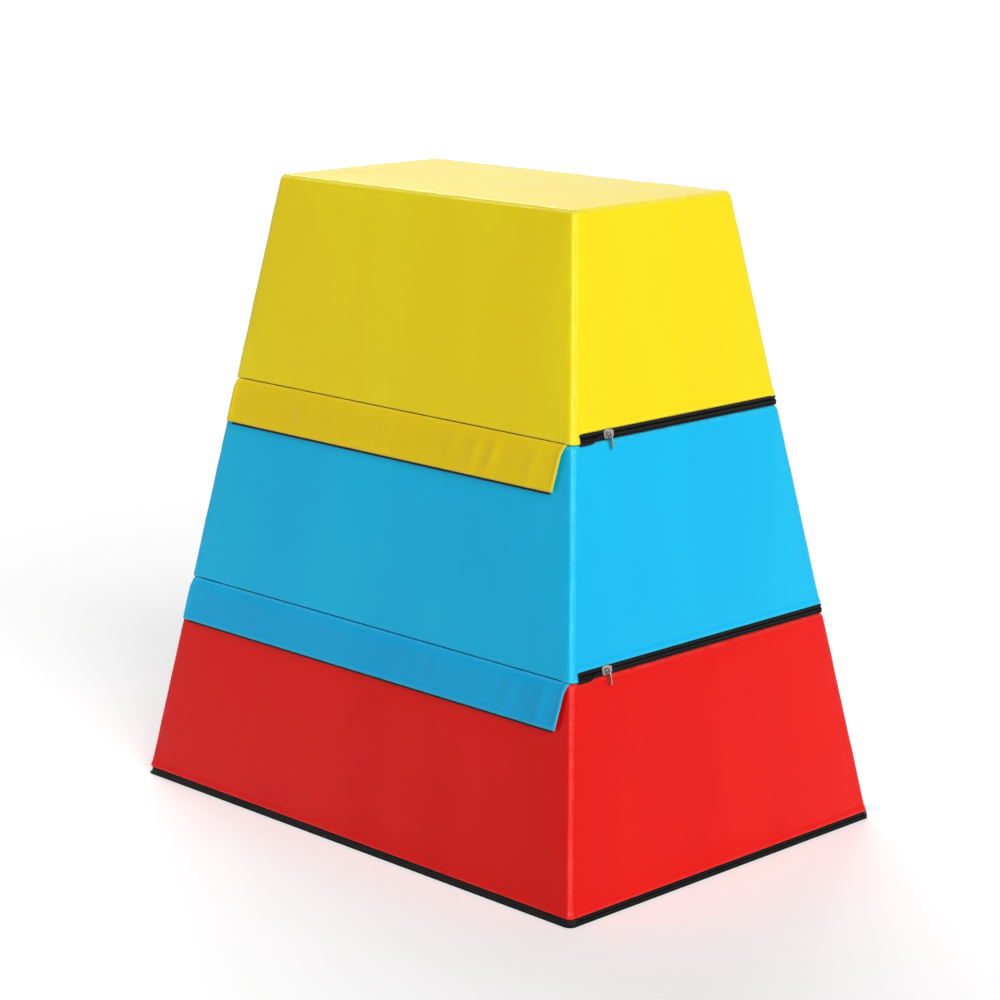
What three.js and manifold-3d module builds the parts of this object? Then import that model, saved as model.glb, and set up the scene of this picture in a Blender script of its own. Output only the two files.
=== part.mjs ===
// A vaulting box of three stacked tiers. Each tier is a foam block in a zipped vinyl cover, and the
// two upper tiers are held to the one below by a flap with a hook strip on its inner side.
// Millimetres, +Z up. The origin is the middle of the base, X runs along the box's length, and the
// side with the flaps faces -Y.

import * as THREE from "three";
import { mergeVertices } from "three/addons/utils/BufferGeometryUtils.js";
import Module from "manifold-3d";

// Driving dimensions: the box as a whole
const baseLength = 690;
const baseWidth = 480;
const topLength = 460;
const topWidth = 240;
const bottomTierHeight = 238;
const middleTierHeight = 232;
const topTierHeight = 230;
const cornerRadius = 8;
const edgeRadius = 6;

// Driving dimensions: covers and base panels
const clearance = 0.3;
const overrun = 5;
const coverThickness = 1.5;
const basePanelThickness = 1.5;

// Driving dimensions: zips. A band is the height from a tier's underside to the cover's hem.
const bottomZipBand = 8;
const middleZipBand = 9;
const topZipBand = 10;
const zipSetback = 10;
const coilProud = 0.8;
const tapeThickness = 1;
const tapeHem = 12;

// Driving dimensions: sliders and their pulls
const sliderSetback = 50;
const sliderLength = 14;
const sliderWidth = 9.6;
const outerPlateThickness = 1.2;
const innerPlateThickness = 1;
const neckThickness = 0.6;
const neckLength = 3;
const bridgeLength = 9;
const bridgeRadius = 0.7;
const pullLength = 18;
const pullThickness = 1.2;
const pullWall = 1.2;

// Driving dimensions: flaps and their hook and loop strips. An end inset is from the box's corner.
const flapThickness = 1.4;
const flapDepth = 50;
const flapBend = 3;
const flapShoulder = 9;
const topFlapEndInset = 10;
const middleFlapEndInset = 4;
const flapFarEndInset = 5;
const flapEndSlant = 16;
const hookThickness = 1;
const loopThickness = 1;
const stripWidth = 38;
const stripEndMargin = 6;
const hookEdgeMargin = 1;
const loopReach = 3;

// Steps of the round stretches
const cornerSteps = 4;
const edgeSteps = 3;
const rodSides = 16;
const arcSteps = 8;

// Half of a slider's plate, as shares of its length and width, with the open end first
const plateOutlineShares = [
  [-0.5, 0.34],
  [-0.36, 0.5],
  [0.1, 0.5],
  [0.5, 0.3],
];

const yellow = 0xf4d91c;
const blue = 0x1fb4ec;
const red = 0xe0180f;

const bottomTier = {
  name: "bottom",
  base: 0,
  height: bottomTierHeight,
  band: bottomZipBand,
  colour: red,
  zipEnd: -1,
  pullTurn: Math.PI,
};
const middleTier = {
  name: "middle",
  base: bottomTierHeight,
  height: middleTierHeight,
  band: middleZipBand,
  colour: blue,
  zipEnd: 1,
  pullTurn: 0,
  flapEndInset: middleFlapEndInset,
};
const topTier = {
  name: "top",
  base: bottomTierHeight + middleTierHeight,
  height: topTierHeight,
  band: topZipBand,
  colour: yellow,
  zipEnd: 1,
  pullTurn: 0,
  flapEndInset: topFlapEndInset,
};

const wasm = await Module();
wasm.setup();

// How far each end and each side draws in over one unit of height
const totalHeight = bottomTierHeight + middleTierHeight + topTierHeight;
const endLean = (baseLength - topLength) / 2 / totalHeight;
const sideLean = (baseWidth - topWidth) / 2 / totalHeight;
const endAngle = Math.atan(endLean);
const sideAngle = Math.atan(sideLean);

// Depths below the cover's outer face, going inwards at a zip
const tapeInset = coverThickness + clearance;
const innerPlateInset = tapeInset + tapeThickness + clearance;
const recessInset = innerPlateInset + innerPlateThickness + clearance;

// Heights above a tier's underside
const coilBottom = basePanelThickness + clearance;
const tapeLegTop = coilBottom + tapeThickness;
const foamBottom = tapeLegTop + clearance;
const halfSplit = neckThickness / 2 + clearance;

function halfLength(height) {
  return baseLength / 2 - endLean * height;
}

function halfWidth(height) {
  return baseWidth / 2 - sideLean * height;
}

// The middle of a tier's zip, above its underside
function zipMiddle(tier) {
  return (coilBottom + tier.band - clearance) / 2;
}

// Where the zip starts on both ends, past the front corners
function zipStart(tier) {
  return zipSetback - halfWidth(tier.base);
}

// A rounded rectangle at a height above the tier's underside, drawn in from its outer faces
function ring(tier, inset, height) {
  const radius = Math.max(cornerRadius - inset, clearance);
  const x = halfLength(tier.base + height) - inset - radius;
  const y = halfWidth(tier.base + height) - inset - radius;
  const points = [];
  for (let corner = 0; corner < 4; corner++) {
    const signX = corner === 0 || corner === 3 ? 1 : -1;
    const signY = corner < 2 ? 1 : -1;
    for (let step = 0; step <= cornerSteps; step++) {
      const angle = ((corner + step / cornerSteps) * Math.PI) / 2;
      points.push([signX * x + radius * Math.cos(angle), signY * y + radius * Math.sin(angle), height]);
    }
  }
  return points;
}

// Joins rings given as [inset, height] pairs. A looped list is a band round the box, and any other
// list is capped at its first and last rings.
function loft(tier, profile, looped) {
  const rings = profile.map(([inset, height]) => ring(tier, inset, height));
  const count = rings[0].length;
  const index = [];
  const joins = looped ? rings.length : rings.length - 1;
  for (let low = 0; low < joins; low++) {
    const high = (low + 1) % rings.length;
    for (let here = 0; here < count; here++) {
      const next = (here + 1) % count;
      index.push(low * count + here, low * count + next, high * count + next);
      index.push(low * count + here, high * count + next, high * count + here);
    }
  }
  const last = (rings.length - 1) * count;
  for (let step = 1; !looped && step < count - 1; step++) {
    index.push(0, step + 1, step);
    index.push(last, last + step, last + step + 1);
  }
  const geometry = new THREE.BufferGeometry();
  geometry.setAttribute("position", new THREE.Float32BufferAttribute(rings.flat(2), 3));
  geometry.setIndex(index);
  return geometry;
}

// The round stretch from a side to a flat top, as [inset, height] pairs
function shoulder(inset, height, radius) {
  const pairs = [];
  for (let step = 0; step <= edgeSteps; step++) {
    const angle = ((step / edgeSteps) * Math.PI) / 2;
    pairs.push([inset + radius * (1 - Math.cos(angle)), height - radius * (1 - Math.sin(angle))]);
  }
  return pairs;
}

function solidOf(geometry) {
  const bare = geometry.clone();
  bare.deleteAttribute("normal");
  bare.deleteAttribute("uv");
  const merged = mergeVertices(bare, clearance / 1000);
  return new wasm.Manifold(
    new wasm.Mesh({
      numProp: 3,
      vertProperties: merged.attributes.position.array,
      triVerts: new Uint32Array(merged.index.array),
    }),
  );
}

function geometryOf(solid) {
  const made = solid.getMesh();
  const geometry = new THREE.BufferGeometry();
  geometry.setAttribute("position", new THREE.BufferAttribute(made.vertProperties, 3));
  geometry.setIndex(new THREE.BufferAttribute(made.triVerts, 1));
  return geometry;
}

function block(low, high) {
  const size = high.map((value, axis) => value - low[axis]);
  const geometry = new THREE.BoxGeometry(...size);
  return geometry.translate(...low.map((value, axis) => value + size[axis] / 2));
}

// Everything behind a place on Y, and up to a height above the tier's underside
function rearSpace(tier, from, height) {
  const x = baseLength / 2 + overrun;
  return solidOf(block([-x, from, -overrun], [x, baseWidth / 2 + overrun, height]));
}

function fabric(name, colour, roughness) {
  return new THREE.MeshStandardMaterial({ name, color: colour, roughness, metalness: 0 });
}

function metal(name) {
  return new THREE.MeshStandardMaterial({ name, color: 0xc9ccd0, roughness: 0.28, metalness: 1 });
}

function named(name, geometry, material) {
  geometry.computeVertexNormals();
  const mesh = new THREE.Mesh(geometry, material);
  mesh.name = name;
  return mesh;
}

// The foam block, drawn in round its foot to leave room for the tapes and the slider
function foamCore(tier) {
  const inset = coverThickness + clearance;
  const recessTop = tier.band + tapeHem + clearance;
  const profile = [
    [recessInset, foamBottom],
    [recessInset, recessTop],
    [inset, recessTop + recessInset - inset],
    ...shoulder(inset, tier.height - clearance - inset, edgeRadius - inset),
  ];
  return named(`${tier.name}_foam_core`, loft(tier, profile, false), fabric("foam", 0xe9e4cf, 0.95));
}

// The cover: a top and four sides in one. Its hem is cut back over the zip. The bottom tier's hem is
// as high in front too, where the base panel is turned up to meet it.
function cover(tier) {
  const hem = tier === bottomTier ? tier.band : 0;
  const outerTop = tier.height - clearance;
  const profile = [
    ...shoulder(coverThickness, outerTop - coverThickness, edgeRadius - coverThickness).reverse(),
    [coverThickness, hem],
    [0, hem],
    ...shoulder(0, outerTop, edgeRadius),
  ];
  const shell = solidOf(loft(tier, profile, false));
  const cut = shell.subtract(rearSpace(tier, zipStart(tier), tier.band));
  return named(`${tier.name}_cover`, geometryOf(cut), fabric("vinyl", tier.colour, 0.38));
}

// A black panel under the foam. At the zip its edge is level with the cover's faces, and in front it
// lies inside the cover, or on the bottom tier is turned up outside to the cover's hem.
function basePanel(tier) {
  const frontInset = tier === bottomTier ? 0 : coverThickness + clearance;
  const sheet = (inset) => loft(tier, [[inset, 0], [inset, basePanelThickness]], false);
  const rear = solidOf(sheet(0)).intersect(rearSpace(tier, zipStart(tier) + clearance, tier.height));
  let panel = rear.add(solidOf(sheet(frontInset)));
  if (tier === bottomTier) {
    const lip = [
      [0, 0],
      [0, tier.band - clearance],
      [coverThickness, tier.band - clearance],
      [coverThickness, 0],
    ];
    const turnUp = solidOf(loft(tier, lip, true));
    panel = panel.add(turnUp.subtract(rearSpace(tier, zipStart(tier), tier.height)));
  }
  return named(`${tier.name}_base_panel`, geometryOf(panel), fabric("base vinyl", 0x141416, 0.7));
}

// A strip of the zip: it runs along one end, the back and the other end
function zipStrip(tier, name, profile, material) {
  const whole = solidOf(loft(tier, profile, true));
  const strip = whole.intersect(rearSpace(tier, zipStart(tier) + clearance, tier.height));
  return named(`${tier.name}_${name}`, geometryOf(strip), material);
}

// The upper tape runs up behind the cover, and the lower tape turns in over the base panel. Each
// coil lies on its tape's outer face, and the split between them is as wide as the slider's neck
// needs.
function zip(tier) {
  const splitLow = zipMiddle(tier) - halfSplit;
  const splitHigh = zipMiddle(tier) + halfSplit;
  const coilTop = tier.band - clearance;
  const tapeBack = tapeInset + tapeThickness;
  const upperTape = [
    [tapeInset, splitHigh],
    [tapeInset, tier.band + tapeHem],
    [tapeBack, tier.band + tapeHem],
    [tapeBack, splitHigh],
  ];
  const lowerTape = [
    [tapeInset, coilBottom],
    [tapeInset, splitLow],
    [tapeBack, splitLow],
    [tapeBack, tapeLegTop],
    [tapeBack + tapeHem, tapeLegTop],
    [tapeBack + tapeHem, coilBottom],
  ];
  const coil = (low, high) => [
    [-coilProud, low],
    [-coilProud, high],
    [coverThickness, high],
    [coverThickness, low],
  ];
  return [
    zipStrip(tier, "zip_upper_tape", upperTape, fabric("tape", 0x111113, 0.85)),
    zipStrip(tier, "zip_lower_tape", lowerTape, fabric("tape", 0x111113, 0.85)),
    zipStrip(tier, "zip_upper_coil", coil(splitHigh, coilTop), fabric("coil", 0x0b0b0c, 0.45)),
    zipStrip(tier, "zip_lower_coil", coil(coilBottom, splitLow), fabric("coil", 0x0b0b0c, 0.45)),
  ];
}

// A plate of the slider's outline: its length lies along Y, its width along Z and X is outwards
function sliderPlate(width, thickness, from, rise) {
  const half = plateOutlineShares.map(([along, across]) => [along * sliderLength, across * width]);
  const mirrored = half.map(([along, across]) => [along, -across]).reverse();
  const outline = new THREE.Shape([...mirrored, ...half].map((pair) => new THREE.Vector2(...pair)));
  const geometry = new THREE.ExtrudeGeometry(outline, { depth: thickness, bevelEnabled: false });
  const axes = new THREE.Matrix4().makeBasis(
    new THREE.Vector3(0, 1, 0),
    new THREE.Vector3(0, 0, 1),
    new THREE.Vector3(1, 0, 0),
  );
  return solidOf(geometry.applyMatrix4(axes).translate(from, 0, rise));
}

// Depths of the slider, outwards from the cover's face
const outerPlateFrom = coilProud + clearance;
const outerPlateTo = outerPlateFrom + outerPlateThickness;
const outerPlateMiddle = outerPlateFrom + outerPlateThickness / 2;
const innerPlateFrom = -innerPlateInset - innerPlateThickness;
const innerPlateMiddle = -innerPlateInset - innerPlateThickness / 2;
const eyeRadius = bridgeRadius + clearance;
const pullRadius = eyeRadius + pullWall;
const bridgeDepth = outerPlateTo + clearance + pullRadius;

// The slider: a plate outside the coils and one behind the tapes, joined by a neck at the open end,
// and a round bridge that the pull hangs from. The neck lies level in the split, not square to the
// leaning plates, so the plate behind the tapes sits higher.
function slider(tier) {
  const innerWidth = 2 * (zipMiddle(tier) - foamBottom - innerPlateThickness * Math.sin(endAngle));
  const innerRise = -innerPlateMiddle * Math.tan(endAngle);
  const neckFrom = -sliderLength / 2;
  const halfNeck = neckThickness / 2;
  const neck = block(
    [innerPlateMiddle, neckFrom, -halfNeck],
    [outerPlateMiddle, neckFrom + neckLength, halfNeck],
  );
  neck.rotateY(endAngle);
  const bar = new THREE.CylinderGeometry(bridgeRadius, bridgeRadius, bridgeLength, rodSides);
  bar.translate(bridgeDepth, 0, 0);
  let body = sliderPlate(sliderWidth, outerPlateThickness, outerPlateFrom, 0)
    .add(sliderPlate(innerWidth, innerPlateThickness, innerPlateFrom, innerRise))
    .add(solidOf(neck))
    .add(solidOf(bar));
  for (const side of [-1, 1]) {
    const outside = (side * bridgeLength) / 2;
    const inside = outside - side * 2 * bridgeRadius;
    const foot = block(
      [outerPlateFrom, Math.min(inside, outside), -bridgeRadius],
      [bridgeDepth + bridgeRadius, Math.max(inside, outside), bridgeRadius],
    );
    body = body.add(solidOf(foot));
  }
  return named(`${tier.name}_zip_slider`, geometryOf(body), metal("slider metal"));
}

// The pull: a tab seen edge-on from outside, with an eye round the slider's bridge
function pull(tier) {
  const outline = new THREE.Shape();
  outline.absarc(0, 0, pullRadius, 0, Math.PI, false);
  outline.absarc(0, pullRadius - pullLength, pullRadius, Math.PI, 2 * Math.PI, false);
  const eye = new THREE.Path();
  eye.absarc(0, 0, eyeRadius, 0, 2 * Math.PI, true);
  outline.holes.push(eye);
  const geometry = new THREE.ExtrudeGeometry(outline, {
    depth: pullThickness,
    bevelEnabled: false,
    curveSegments: arcSteps,
  });
  geometry.rotateX(Math.PI / 2).translate(0, pullThickness / 2, 0);
  return named(`${tier.name}_zip_pull`, geometry, metal("pull metal"));
}

// The slider and its pull, on the zip's end of the box, leaning with its face. A pull hangs down, and
// the bottom tier's is turned up, clear of the floor.
function sliderSet(tier) {
  const carriage = new THREE.Group();
  const tab = pull(tier);
  tab.position.x = bridgeDepth;
  tab.rotation.y = tier.pullTurn;
  carriage.add(slider(tier), tab);
  carriage.position.x = halfLength(tier.base + zipMiddle(tier));
  carriage.position.y = sliderSetback - halfWidth(tier.base);
  carriage.position.z = zipMiddle(tier);
  carriage.rotation.y = -endAngle;
  const end = new THREE.Group();
  end.scale.x = tier.zipEnd;
  end.add(carriage);
  return end;
}

// Maps a section that runs down the front face from a seam, in [down, out] points, to a panel whose
// ends follow the box's corners. The seam's height is above the tier's underside.
function facePanel(tier, seam, section, flapTier, endMargin) {
  const geometry = new THREE.ExtrudeGeometry(section, {
    depth: 1,
    bevelEnabled: false,
    curveSegments: arcSteps,
  });
  const place = geometry.attributes.position;
  for (let vertex = 0; vertex < place.count; vertex++) {
    const down = place.getX(vertex);
    const out = place.getY(vertex);
    const corner = halfLength(tier.base + seam - down * Math.cos(sideAngle)) - endMargin;
    const right = corner - flapTier.flapEndInset - (flapEndSlant * down) / flapDepth;
    const left = flapFarEndInset - corner;
    place.setXYZ(
      vertex,
      THREE.MathUtils.lerp(right, left, place.getZ(vertex)),
      -halfWidth(tier.base + seam) - down * Math.sin(sideAngle) - out * Math.cos(sideAngle),
      seam - down * Math.cos(sideAngle) + out * Math.sin(sideAngle),
    );
  }
  return geometry;
}

// Distances out from the face that the hook strip and the flap lie at
const hookOut = clearance + loopThickness + clearance;
const flapOut = hookOut + hookThickness + clearance;

// The flap hangs from a rounded edge at the tier's underside and bends out over its hook strip
function flap(tier) {
  const radius = flapThickness / 2;
  const edgeOut = clearance + radius;
  const section = new THREE.Shape();
  section.absarc(0, edgeOut, radius, -Math.PI / 2, Math.PI / 2, true);
  section.lineTo(flapBend, edgeOut + radius);
  section.lineTo(flapShoulder, flapOut + flapThickness);
  section.lineTo(flapDepth, flapOut + flapThickness);
  section.lineTo(flapDepth, flapOut);
  section.lineTo(flapShoulder, flapOut);
  section.lineTo(flapBend, clearance);
  section.closePath();
  const geometry = facePanel(tier, 0, section, tier, 0);
  return named(`${tier.name}_flap`, geometry, fabric("vinyl", tier.colour, 0.38));
}

function stripSection(from, out, thickness) {
  const section = new THREE.Shape();
  section.moveTo(from, out);
  section.lineTo(from + stripWidth, out);
  section.lineTo(from + stripWidth, out + thickness);
  section.lineTo(from, out + thickness);
  section.closePath();
  return section;
}

function hookStrip(tier) {
  const from = flapDepth - hookEdgeMargin - stripWidth;
  const section = stripSection(from, hookOut, hookThickness);
  const geometry = facePanel(tier, 0, section, tier, stripEndMargin);
  return named(`${tier.name}_hook_strip`, geometry, fabric("hook", 0x0e0e10, 0.95));
}

// The loop strip lies on the tier below the flap's tier, and shows a little under the flap
function loopStrip(tier, flapTier) {
  const from = flapDepth + loopReach - stripWidth;
  const section = stripSection(from, clearance, loopThickness);
  const geometry = facePanel(tier, tier.height, section, flapTier, stripEndMargin);
  return named(`${tier.name}_loop_strip`, geometry, fabric("loop", 0x0e0e10, 0.95));
}

function tierGroup(tier, tierAbove) {
  const group = new THREE.Group();
  group.position.z = tier.base;
  group.add(foamCore(tier), cover(tier), basePanel(tier), ...zip(tier), sliderSet(tier));
  if (tierAbove) group.add(loopStrip(tier, tierAbove));
  if (tier !== bottomTier) group.add(flap(tier), hookStrip(tier));
  return group;
}

const box = new THREE.Group();
box.add(tierGroup(bottomTier, middleTier), tierGroup(middleTier, topTier), tierGroup(topTier));

export default box;
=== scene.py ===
"""A vaulting box of three foam tiers in zipped vinyl covers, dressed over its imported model.

Metres, +Z up. X runs along the box's length and the side with the flaps faces -Y. Every piece is
made in place, so its object sits at the origin.
"""

import math

import bmesh
import bpy
from mathutils import Matrix, Vector, noise
from mathutils.bvhtree import BVHTree


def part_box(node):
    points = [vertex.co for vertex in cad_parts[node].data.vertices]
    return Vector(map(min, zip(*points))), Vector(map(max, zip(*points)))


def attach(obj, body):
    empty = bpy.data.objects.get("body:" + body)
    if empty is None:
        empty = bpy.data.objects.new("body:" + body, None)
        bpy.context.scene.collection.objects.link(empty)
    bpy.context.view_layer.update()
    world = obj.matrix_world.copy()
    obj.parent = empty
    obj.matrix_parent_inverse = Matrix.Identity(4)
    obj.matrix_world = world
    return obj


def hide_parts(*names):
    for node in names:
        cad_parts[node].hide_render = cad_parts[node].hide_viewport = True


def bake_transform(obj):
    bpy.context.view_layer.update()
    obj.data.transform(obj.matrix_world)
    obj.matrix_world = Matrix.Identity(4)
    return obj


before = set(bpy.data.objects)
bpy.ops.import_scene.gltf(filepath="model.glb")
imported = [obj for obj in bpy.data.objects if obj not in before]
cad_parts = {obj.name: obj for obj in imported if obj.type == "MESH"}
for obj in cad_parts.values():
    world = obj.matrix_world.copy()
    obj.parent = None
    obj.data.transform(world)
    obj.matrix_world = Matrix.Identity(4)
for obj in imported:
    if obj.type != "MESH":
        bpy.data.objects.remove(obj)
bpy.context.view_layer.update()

MM = 0.001

# Camera, at the photograph's viewing angle
CAMERA_PLACE = Vector((2.178, -2.133, 1.049))
CAMERA_AIM = Vector((0, 0, 0.345))
CAMERA_LENS = 101

# Light and floor
LAMPS = {
    "key": {"azimuth": 66, "height": 30, "angle": 40, "strength": 2.47},
    "fill": {"azimuth": 235, "height": 39, "angle": 34, "strength": 1.5},
}
SKY_STRENGTH = 0.11
FLOOR_HALF = 60
FLOOR_DROP = 0.1 * MM
FLOOR_ALBEDO = 0.85
FLOOR_GLOW = 0.355

# Covers
CLEARANCE = 0.3 * MM
CORNER_RADIUS = 8 * MM
EDGE_RADIUS = 6 * MM
CORNER_STEPS = 6
EDGE_STEPS = 4
VINYL_THICKNESS = 1.5 * MM
PANEL_STEP = 12 * MM
LEVEL_NORMAL = 0.9

# The covers' swell, as cloth, and where they are held
SWELL = 2.4 * MM
SWELL_FRAMES = 20
SWELL_PRESSURE = 4
SEWN_FOOT = 13 * MM
HELD_FRONT = 58 * MM

# Seams and the puckers beside them
SEAM_WIDTH = 1.6 * MM
SEAM_DEPTH = 0.6 * MM
PUCKER_REACH = 45 * MM
PUCKER_HEIGHT = 0.6 * MM
PUCKER_LENGTH = 22 * MM
GATHER_PITCH = 7 * MM
GATHER_REACH = 3.2 * MM
GATHER_DEPTH = 0.5 * MM
# The paler band beside the seams and along the hem's edge: partly worn vinyl, partly a painted highlight
PALE_REACH = 4 * MM
PALE_SHARE = 0.8

# The front foot's tuck, where the flap is sewn on, and the hem over the zip
TUCK_ROWS = (1 * MM, 2.2 * MM, 3.6 * MM)
TUCK_RISE = 5 * MM
TUCK_DEPTH = 1.6 * MM
TUCK_FADE = 2.5 * CORNER_RADIUS
HEM_ROWS = (1 * MM, 2.2 * MM, 3.6 * MM, 5 * MM, 6.4 * MM, 8 * MM)
HEM_ROLL = 0.9 * MM
HEM_DEPTH = 8 * MM
HEM_FADE = 10 * MM
HEM_LEAN = 0.6
HEM_DIP_SHARE = 0.5
HEM_DIP_END_SHARE = 0.15
HEM_STITCH_RISE = 6.4 * MM

# Thread
STITCH_PITCH = 5.4 * MM
STITCH_LENGTH = 4.2 * MM
THREAD_WIDTH = 0.75 * MM
THREAD_RISE = THREAD_WIDTH / 8
THREAD_SINK = 0.2 * MM
ROW_GAP = 100 * MM

# Base panels
BASE_THICKNESS = 1.5 * MM
BASE_EDGE = BASE_THICKNESS / 4
BASE_EDGE_STEPS = 2
LIP_PITCH = 10 * MM
LIP_ROWS = 6

# Zips
COIL_PROUD = 0.8 * MM
COIL_PITCH = 1.9 * MM
COIL_BOTTOM = 1.8 * MM
COIL_FILL_SHARE = 0.46
TAPE_THICKNESS = 1 * MM
TAPE_HEM = 12 * MM
TAPE_PITCH = 5 * MM
TAPE_ROWS = 6
GUARD_THICKNESS = 0.8 * MM
GUARD_PITCH = 8 * MM
GUARD_ROWS = 2
OPEN_SAG = 4 * MM
OPEN_LEAN = 1.6 * MM
OPEN_LEAN_START_SHARE = 0.3
OPEN_FADE = 20 * MM

# Sliders and pulls
SLIDER_LENGTH = 14 * MM
SLIDER_WIDTH = 9.6 * MM
OUTER_PLATE = 1.2 * MM
INNER_PLATE = 1 * MM
NECK_THICKNESS = 0.6 * MM
NECK_LENGTH = 3 * MM
PLATE_SHARES = ((-0.5, 0.34), (-0.36, 0.5), (0.1, 0.5), (0.5, 0.3))
PLATE_CORNER = 1.1 * MM
PLATE_CORNER_STEPS = 3
PLATE_EDGE = 0.35 * MM
BRIDGE_LENGTH = 9 * MM
BRIDGE_RADIUS = 0.7 * MM
BRIDGE_BEND = 1.4 * MM
BRIDGE_STEPS = 4
PULL_LENGTH = 18 * MM
PULL_THICKNESS = 1.2 * MM
PULL_WALL = 1.2 * MM
PULL_EYE_STEPS = 24
PULL_END_SHARE = 0.9
PULL_END_STEPS = 6
PULL_EDGE = 0.25 * MM

# Flaps
FLAP_THICKNESS = 1.4 * MM
FLAP_DEPTH = 50 * MM
FLAP_BEND = 3 * MM
FLAP_SHOULDER = 9 * MM
FLAP_END_SLANT = 16 * MM
FLAP_FAR_INSET = 9 * MM
FLAP_NEAR_INSET = {"top": 10 * MM, "middle": 4 * MM}
FLAP_COLUMN = 4 * MM
FLAP_ROWS = 48
FLAP_ROW_CROWDING = 1.6
FLAP_END_CROWDING = 0.8
FLAP_ROUND = 5 * MM
FLAP_ROOT_DOWN = 0.8 * MM
FLAP_ROOT_OUT = -1.8 * MM
FLAP_HEM = 6 * MM
FLAP_HEM_ROLL = 0.7 * MM
FLAP_HEM_EDGE = 1.5 * MM
FLAP_HEM_START = -1 * MM
FLAP_STITCH_INSET = 4 * MM
FLAP_PUCKER = 1.5 * MM
FLAP_PUCKER_WIDTH = 7 * MM
FLAP_PUCKER_SLANT = 0.15
FLAP_PUCKER_HEM_SHARE = 0.4
FLAP_PUCKER_PLACES = {
    "top": (
        (32 * MM, 0.5), (94 * MM, 1.0), (122 * MM, 0.9), (158 * MM, 0.6), (262 * MM, 0.4), (405 * MM, 0.5),
    ),
    "middle": ((26 * MM, 0.5), (71 * MM, 0.7), (186 * MM, 0.5), (330 * MM, 0.4), (478 * MM, 0.5)),
}
RIPPLE_SHARE = 0.4
RIPPLE_WIDTH = 14 * MM
RIPPLE_DROP = 60 * MM
RIPPLE_SHIFT = 10

# The tape bound over the seam behind the flap. Its black in the crease under the tier stands in for the
# crease's shade: partly real tape, partly painted shade.
BINDING_THICKNESS = 0.4 * MM
BINDING_DROP = 0.7 * MM
BINDING_RISE = 5 * MM
BINDING_BEHIND = BINDING_THICKNESS * 0.6

# Hook and loop strips
HOOK_THICKNESS = 1 * MM
LOOP_THICKNESS = 1 * MM
STRIP_WIDTH = 38 * MM
STRIP_PITCH = 8 * MM
STRIP_ROWS = 8
STRIP_END_MARGIN = 6 * MM
HOOK_EDGE_MARGIN = 1 * MM
LOOP_REACH = 3 * MM
SELVEDGE = 2.4 * MM
STRIP_STITCH_INSET = 1.6 * MM

# Foam
FOAM_SLACK = 1.1 * MM
FOAM_FOOT = 3.1 * MM

# Turns between two faces, in degrees, beyond which the edge between them counts as sharp
RIM_TURN = 60
PANEL_TURN = 50
METAL_TURN = 40

# Colours, as linear shares of red, green and blue. A vinyl has deeper bands and paler seams; the pale seam
# colour is partly wear and partly a painted highlight on the rounded seams and the hem's edge.
VINYLS = {
    "top": {
        "name": "yellow vinyl",
        "plain": (0.99, 0.80, 0.006),
        "deep": (0.98, 0.76, 0.005),
        "pale": (1.0, 0.87, 0.056),
        "slot": "vinyl_yellow",
    },
    "middle": {
        "name": "blue vinyl",
        "plain": (0.004, 0.55, 0.91),
        "deep": (0.003, 0.51, 0.88),
        "pale": (0.045, 0.70, 1.0),
        "slot": "vinyl_blue",
    },
    "bottom": {
        "name": "red vinyl",
        "plain": (0.86, 0.006, 0.003),
        "deep": (0.82, 0.004, 0.002),
        "pale": (1.0, 0.055, 0.045),
        "slot": "vinyl_red",
    },
}
# The flaps' vinyl is their tier's vinyl toned darker, yellow towards orange and blue towards deeper blue:
# painted shade on the hanging flaps
FLAP_SHADE_TONE = {"top": (0.97, 0.88, 0.7), "middle": (1, 0.84, 0.93)}
BLACK_THREAD = (0.02, 0.02, 0.021)
BLACK_THREAD_DEEP = (0.008, 0.008, 0.009)
BASE_BLACK = (0.006, 0.006, 0.006)
BASE_DUST = (0.018, 0.017, 0.016)
TAPE_THREAD = (0.016, 0.016, 0.017)
TAPE_GAP = (0.004, 0.004, 0.004)
COIL_BLACK = (0.004, 0.004, 0.004)
COIL_RUBBED = (0.009, 0.008, 0.008)
METAL_BRIGHT = (0.44, 0.42, 0.40)
METAL_DULL = (0.27, 0.25, 0.23)
PILE_BLACK = (0.007, 0.007, 0.008)
PILE_LINT = (0.015, 0.015, 0.016)
PILE_EDGE = (0.034, 0.034, 0.036)
FOAM_CREAM = (0.80, 0.76, 0.60)
FOAM_YELLOWED = (0.74, 0.66, 0.44)

# How far each end and each side draws in over one unit of height
foot_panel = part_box("bottom_base_panel")
upper_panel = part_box("top_base_panel")
panel_rise = upper_panel[0].z - foot_panel[0].z
BASE_HALF_LENGTH = foot_panel[1].x
BASE_HALF_WIDTH = foot_panel[1].y
END_LEAN = (foot_panel[1].x - upper_panel[1].x) / panel_rise
SIDE_LEAN = (foot_panel[1].y - upper_panel[1].y) / panel_rise
SIDE_ANGLE = math.atan(SIDE_LEAN)
END_ANGLE = math.atan(END_LEAN)

# Depths below the cover's face
TAPE_INSET = VINYL_THICKNESS + CLEARANCE
INNER_PLATE_INSET = TAPE_INSET + TAPE_THICKNESS + CLEARANCE
GUARD_INSET = INNER_PLATE_INSET + INNER_PLATE + CLEARANCE
FOAM_RECESS = GUARD_INSET + GUARD_THICKNESS + CLEARANCE

# Heights above the cover's face
HOOK_OUT = CLEARANCE + LOOP_THICKNESS + CLEARANCE
FLAP_OUT = HOOK_OUT + HOOK_THICKNESS + CLEARANCE
OUTER_PLATE_OUT = COIL_PROUD + CLEARANCE
EYE_RADIUS = BRIDGE_RADIUS + CLEARANCE
PULL_RADIUS = EYE_RADIUS + PULL_WALL
BRIDGE_OUT = OUTER_PLATE_OUT + OUTER_PLATE + CLEARANCE + PULL_RADIUS


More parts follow.
